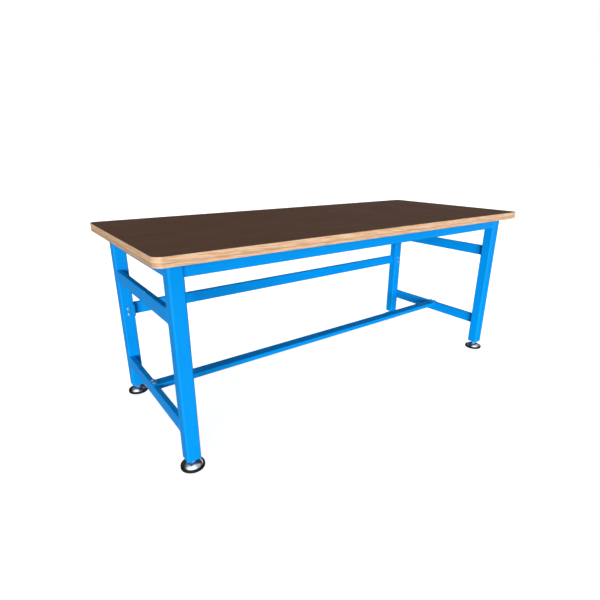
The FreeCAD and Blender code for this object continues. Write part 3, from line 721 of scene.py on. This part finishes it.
def weld_tree():
    """A round run of weld along every edge of the base, swelling at each drop and a little uneven."""
    tree, given = start_tree("weld_along_a_seam", Seam="Geometry", Width="Float", Pitch="Float", Step="Float",
                             Finish="Material")
    curve = add_node(tree, "GeometryNodeMeshToCurve", {"Mesh": given["Seam"]})
    stepped = add_node(tree, "GeometryNodeResampleCurve",
                       {"Curve": curve.outputs["Curve"], "Length": given["Step"]}, mode="LENGTH")
    along = tree.nodes.new("GeometryNodeSplineParameter")
    drops = calculate(tree, "DIVIDE", along.outputs["Length"], given["Pitch"])
    ripple = map_range(tree, calculate(tree, "PINGPONG", drops, 1.0), 0, 1, 0.84, 1.06)
    place = tree.nodes.new("GeometryNodeInputPosition").outputs["Position"]
    uneven = vary(tree, noise(tree, place, 160, 2), 0.86, 1.12)
    half = calculate(tree, "MULTIPLY", given["Width"], 0.5)
    section = add_node(tree, "GeometryNodeCurvePrimitiveCircle", {"Resolution": 8, "Radius": half}, mode="RADIUS")
    run = add_node(tree, "GeometryNodeCurveToMesh",
                   {"Curve": stepped.outputs["Curve"], "Profile Curve": section.outputs["Curve"],
                    "Scale": calculate(tree, "MULTIPLY", ripple, uneven), "Fill Caps": True})
    smooth = add_node(tree, "GeometryNodeSetShadeSmooth", {"Geometry": run.outputs["Mesh"]})
    return end_tree(tree, smooth.outputs["Geometry"], given["Finish"])


def welds():
    """The welds of both side frames, painted over, as one piece."""
    points, edges = [], []
    for path, closed in seams():
        first = len(points)
        points += path
        edges += [(index, index + 1) for index in range(first, len(points) - 1)]
        if closed:
            edges.append((len(points) - 1, first))
    runs = run_tree("side_frame_welds", wire_object("seams", points, edges), weld_tree(),
                    {"Width": WELD_WIDTH, "Pitch": WELD_PITCH, "Step": WELD_STEP,
                     "Finish": FINISHES["blue_powder_coat"]})
    fit_piece(runs, "frame", "blue_powder_coat")


# screw feet

def leg_plate(corner):
    """Plate that closes a leg's lower end, with eased edges and the spindle's bore."""
    node = f"{corner}_leg_plate"
    low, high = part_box(node)
    centre = (low + high) / 2
    half = (high.x - low.x) / 2
    outline = round_rectangle((-half, -half), (half, half), LEG_CORNER, LEG_CORNER_STEPS)
    rings = []
    # an inset of None stands for the bore
    for inset, level in ((PLATE_EASE, low.z), (0, low.z + PLATE_EASE), (0, high.z),
                         (None, high.z), (None, low.z)):
        ring = []
        for x, y in outline:
            reach = math.hypot(x, y)
            share = SPINDLE_BORE / reach if inset is None else 1 - inset / reach
            ring.append((centre.x + x * share, centre.y + y * share, level))
        rings.append(ring)
    plate = to_object(node + "_eased", skin(rings), sharp=50)
    fit_piece(flatten_shading(plate), "frame", "blue_powder_coat", node)


def foot_pad(corner):
    """Rubber pad: a rounded lip round the cup and a shallow hollow underneath."""
    node = f"{corner}_foot_pad"
    low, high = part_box(node)
    radius = (high.x - low.x) / 2
    height = high.z - low.z
    edge = 4 * MM
    toe = 1.5 * MM
    lip = 1 * MM
    recess = 42.8 * MM
    seat = 8 * MM
    hollow_radius = 36 * MM
    hollow = 1.5 * MM
    profile = [(0, hollow), (hollow_radius - hollow, hollow), (hollow_radius, 0), (radius - toe, 0), (radius, toe)]
    profile += arc((radius - edge, height - edge), edge, 0, 90, 8)
    profile += arc((recess + lip, height - lip), lip, 90, 180, 4)
    profile += [(recess, seat), (0, seat)]
    pad = to_object(node + "_rubber", lathe(on_axis(low, high, low.z), profile))
    fit_piece(pad, f"{corner}_foot", "black_rubber", node)


def foot_cup(corner):
    """Pressed cup: rim, dome and flat crown of one sheet."""
    node = f"{corner}_foot_cup"
    low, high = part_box(node)
    rim = 42.5 * MM
    rim_height = 3 * MM
    crown = 15 * MM
    bulge = 40 * MM
    wall = 2 * MM
    height = high.z - low.z
    outer = dome((rim, rim_height), (crown, height), bulge)
    inner = dome((rim - wall, rim_height - wall), (crown - wall, height - wall), bulge)
    profile = [(rim - wall, 0), (rim, 0)] + outer
    profile += [(SPINDLE_BORE, height), (SPINDLE_BORE, height - wall)] + list(reversed(inner))
    cup = to_object(node + "_pressed", lathe(on_axis(low, high, low.z), profile))
    fit_piece(cup, f"{corner}_foot", "chrome_plate", node)


def thread_tree():
    """A helical ridge of triangular section round an upright rod."""
    tree, given = start_tree("thread_on_a_rod", Rod="Geometry", Radius="Float", Depth="Float", Turns="Float",
                             Length="Float", Start="Vector", Finish="Material")
    core = calculate(tree, "SUBTRACT", given["Radius"], given["Depth"])
    helix = add_node(tree, "GeometryNodeCurveSpiral",
                     {"Resolution": 28, "Rotations": given["Turns"], "Start Radius": core, "End Radius": core,
                      "Height": given["Length"]})
    upright = add_node(tree, "GeometryNodeSetCurveNormal", {"Curve": helix.outputs["Curve"]}, mode="Z_UP")
    tooth = add_node(tree, "GeometryNodeCurvePrimitiveCircle",
                     {"Resolution": 4, "Radius": given["Depth"]}, mode="RADIUS")
    ridge = add_node(tree, "GeometryNodeCurveToMesh",
                     {"Curve": upright.outputs["Curve"], "Profile Curve": tooth.outputs["Curve"],
                      "Fill Caps": True})
    placed = add_node(tree, "GeometryNodeTransform",
                      {"Geometry": ridge.outputs["Mesh"], "Translation": given["Start"]})
    joined = tree.nodes.new("GeometryNodeJoinGeometry")
    tree.links.new(given["Rod"], joined.inputs[0])
    tree.links.new(placed.outputs["Geometry"], joined.inputs[0])
    return end_tree(tree, joined.outputs["Geometry"], given["Finish"])


def spindle(corner, tree):
    """Threaded spindle: thrust disc, spanner hexagon and rod. The disc turns just clear of the pad."""
    node = f"{corner}_spindle"
    low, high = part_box(node)
    cup_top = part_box(f"{corner}_foot_cup")[1].z
    disc_radius = 12 * MM
    disc_top = low.z + 5 * MM
    hexagon_top = cup_top + 4 * MM
    core = SPINDLE_RADIUS - THREAD_DEPTH
    chamfer = 1 * MM
    rings = [circle_ring(disc_radius, low.z + DISC_CLEARANCE), circle_ring(disc_radius, disc_top),
             circle_ring(SPINDLE_RADIUS, disc_top), circle_ring(SPINDLE_RADIUS, cup_top)]
    rings += hexagon_rings(SPINDLE_FLATS, cup_top, hexagon_top, chamfer_above=True)
    rings += [circle_ring(core, hexagon_top), circle_ring(core, high.z - chamfer),
              circle_ring(core - chamfer, high.z)]
    rod = to_object(node + "_rod", skin(shift_rings(rings, on_axis(low, high)), closed=False), sharp=20)
    length = high.z - chamfer - hexagon_top - THREAD_PITCH
    piece = run_tree(node + "_threaded", rod, tree,
                     {"Radius": SPINDLE_RADIUS, "Depth": THREAD_DEPTH, "Turns": length / THREAD_PITCH,
                      "Length": length, "Start": on_axis(low, high, hexagon_top + THREAD_PITCH / 2),
                      "Finish": FINISHES["zinc_plate"]})
    fit_piece(piece, f"{corner}_foot_spindle", "zinc_plate", node)


def lock_nut(corner):
    """Hexagon nut, its corners turned off at both ends and its bore flared."""
    node = f"{corner}_lock_nut"
    low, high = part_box(node)
    flare = 1 * MM
    rings = hexagon_rings(NUT_FLATS, low.z, high.z, chamfer_below=True, chamfer_above=True)
    rings += [circle_ring(SPINDLE_BORE + flare, high.z), circle_ring(SPINDLE_BORE, high.z - flare),
              circle_ring(SPINDLE_BORE, low.z + flare), circle_ring(SPINDLE_BORE + flare, low.z)]
    nut = to_object(node + "_hexagon", skin(shift_rings(rings, on_axis(low, high))), sharp=20)
    fit_piece(nut, f"{corner}_nut", "zinc_plate", node)


def lock_washer(corner):
    """Washer over the lock nut, eased all round."""
    node = f"{corner}_lock_washer"
    low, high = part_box(node)
    radius = (high.x - low.x) / 2
    bore = 8.5 * MM
    ease = 0.4 * MM
    profile = [
        (bore, low.z + ease), (bore + ease, low.z), (radius - ease, low.z), (radius, low.z + ease),
        (radius, high.z - ease), (radius - ease, high.z), (bore + ease, high.z), (bore, high.z - ease),
    ]
    washer = to_object(node + "_flat", lathe(on_axis(low, high), profile, LOCK_WASHER_STEPS), sharp=30)
    fit_piece(washer, f"{corner}_washer", "zinc_plate", node)


def feet():
    tree = thread_tree()
    for corner in CORNERS:
        leg_plate(corner)
        foot_pad(corner)
        foot_cup(corner)
        spindle(corner, tree)
        lock_nut(corner)
        lock_washer(corner)


# room, lights and camera

def floor():
    """Pale floor that glows a little more away from the bench, so that it meets the white wall without a line.

    The poses move the feet down and leave the frame, so the floor lies as deep as the feet reach when
    they are screwed right out.
    """
    material, tree, shader = new_material("pale_floor", Roughness=0.9, Base_Color=(0.3, 0.3, 0.3, 1),
                                          Specular_IOR_Level=0.0, Emission_Color=WHITE)
    reach = add_node(tree, "ShaderNodeVectorMath", {0: object_place(tree)}, operation="LENGTH").outputs["Value"]
    tree.links.new(map_range(tree, reach, 1.5, 6, 0.9, 1.0), shader.inputs["Emission Strength"])
    slides = [joint for joint in frame["record"]["behaviour"]["joints"] if joint["type"] == "slide"]
    level = Matrix.Translation((0, 0, -max(joint["range_m"][1] for joint in slides)))
    bm = bmesh.new()
    bmesh.ops.create_circle(bm, cap_ends=True, segments=64, radius=FLOOR_RADIUS, matrix=level)
    plane = to_object("floor", bm)
    plane.data.materials.append(material)
    plane.visible_diffuse = False
    plane.visible_glossy = False


def add_light(name, kind, place, way, in_gloss=False, **settings):
    """A light at a place that shines from the way given."""
    data = bpy.data.lights.new(name, kind)
    for key, setting in settings.items():
        setattr(data, key, setting)
    lamp = new_object(name, data)
    lamp.location = place
    lamp.rotation_euler = way.to_track_quat("Z", "Y").to_euler()
    lamp.visible_glossy = in_gloss
    return lamp


def soft_light(name, azimuth, elevation, spread, strength, in_gloss=False):
    """A far, broad studio light; azimuth 0 is the front, 90 the left end, and spread how wide it looks."""
    turn = math.radians(azimuth)
    rise = math.radians(elevation)
    way = Vector((-math.sin(turn) * math.cos(rise), -math.cos(turn) * math.cos(rise), math.sin(rise)))
    add_light(name, "SUN", way * LIGHT_DISTANCE, way, in_gloss, angle=math.radians(spread), energy=strength)


def far_end_light():
    """A soft spot from the front left that lifts the right end of the bench."""
    aim = Vector((1.2, -0.2, 0.0))
    place = aim + Vector((-5.3, -4.4, 0.9))
    add_light("far_end_light", "SPOT", place, place - aim,
              energy=430, spot_size=math.radians(17), spot_blend=1.0, shadow_soft_size=0.6)


def floor_bounce():
    """Light that the pale floor throws back on the lower part of the front legs."""
    aim = Vector((-0.2, -0.45, 0.2))
    place = Vector((-0.4, -1.35, 0.03))
    lamp = add_light("floor_bounce", "AREA", place, place - aim,
                     shape="RECTANGLE", size=3.2, size_y=0.8, energy=4.5)
    lamp.visible_camera = False


def lights():
    soft_light("key_light", azimuth=38, elevation=4.2, spread=28, strength=4.95, in_gloss=True)
    soft_light("top_light", azimuth=0, elevation=87, spread=16, strength=2.35)
    soft_light("end_light", azimuth=-98, elevation=5, spread=34, strength=2.0)
    soft_light("rear_light", azimuth=185, elevation=2, spread=30, strength=2.4)
    far_end_light()
    floor_bounce()


def studio():
    """White to the eye, dim grey as a light, and to gloss a dark room with a bright ceiling and a pale floor."""
    world = bpy.data.worlds.new("studio")
    bpy.context.scene.world = world
    world.use_nodes = True
    tree = world.node_tree
    parts = split(tree, add_node(tree, "ShaderNodeTexCoord").outputs["Generated"])

    # 0 is straight down, 0.5 the horizon and 1 straight up
    rise = map_range(tree, parts["Z"], -1, 1, 0, 1)

    def dim(colour, axis, low, high, most):
        return mix_colours(tree, map_range(tree, parts[axis], low, high, 0, most), colour, BLACK)

    def brighten(colour, axis, low, high, added):
        return mix_colours(tree, map_range(tree, parts[axis], low, high, 0, 1), colour, added, "ADD")

    room = ramp(tree, rise, ((0, 0.14), (0.49, 0.14), (0.51, 0.15), (1, 0.15)))
    ceiling = dim(ramp(tree, rise, ((0, 0.04), (0.68, 0.05), (0.79, 1.2), (1, 1.2))), "X", 0.15, 0.4, 0.6)
    ground = dim(ramp(tree, rise, ((0, 0.4), (0.38, 0.4), (0.47, 0))), "X", 0.05, 0.45, 0.9)
    front = dim(mix_colours(tree, 1.0, ceiling, ground, "ADD"), "Y", -0.1, 0.4, 0.9)
    right_band = ramp(tree, rise, ((0.42, 0), (0.46, 1), (0.53, 1), (0.57, 0)))
    left_ground = ramp(tree, rise, ((0, 0.2), (0.43, 0.2), (0.48, 0)))
    mirrored = brighten(front, "X", 0.35, 0.75, right_band)
    mirrored = brighten(mirrored, "X", -0.05, -0.2, left_ground)
    path = add_node(tree, "ShaderNodeLightPath").outputs
    seen = mix_colours(tree, path["Is Glossy Ray"], room, mirrored)
    background = tree.nodes["Background"]
    tree.links.new(mix_colours(tree, path["Is Camera Ray"], seen, WHITE), background.inputs["Color"])
    background.inputs["Strength"].default_value = 1.0


def camera():
    """The photograph's own view."""
    forward = Vector((math.sin(CAMERA_YAW) * math.cos(CAMERA_PITCH), math.cos(CAMERA_YAW) * math.cos(CAMERA_PITCH),
                      math.sin(CAMERA_PITCH)))
    right = Vector((math.cos(CAMERA_YAW), -math.sin(CAMERA_YAW), 0))
    up = right.cross(forward)
    level = math.cos(CAMERA_ROLL)
    tilt = math.sin(CAMERA_ROLL)
    axes = Matrix((level * right + tilt * up, level * up - tilt * right, -forward)).transposed()
    data = bpy.data.cameras.new("camera")
    data.sensor_width = CAMERA_SENSOR
    data.lens = CAMERA_LENS
    data.shift_x, data.shift_y = CAMERA_SHIFT
    data.clip_end = CAMERA_REACH
    eye = new_object("camera", data)
    eye.matrix_world = Matrix.Translation(CAMERA_PLACE) @ axes.to_4x4()
    bpy.context.scene.camera = eye
    bpy.context.scene.view_settings.view_transform = "Standard"


def dress_cad_nodes():
    """Gives the nodes that are shown as they are their finishes."""
    for part in frame["record"]["subparts"]:
        node = frame["nodes"][part["node"]]
        node.data.materials.clear()
        node.data.materials.append(FINISHES[part["material_slot"]])


dress_cad_nodes()
worktop_layer("worktop_film", "brown_film", ease_above=FILM_EDGE_EASE)
worktop_layer("upper_board", "birch_plywood", ease_below=BOARD_EDGE_EASE)
worktop_layer("lower_board", "birch_plywood", ease_above=BOARD_EDGE_EASE)
worktop_layer("underside_film", "brown_film", ease_below=FILM_EDGE_EASE)
fasteners()
brackets()
welds()
feet()
floor()
studio()
lights()
camera()
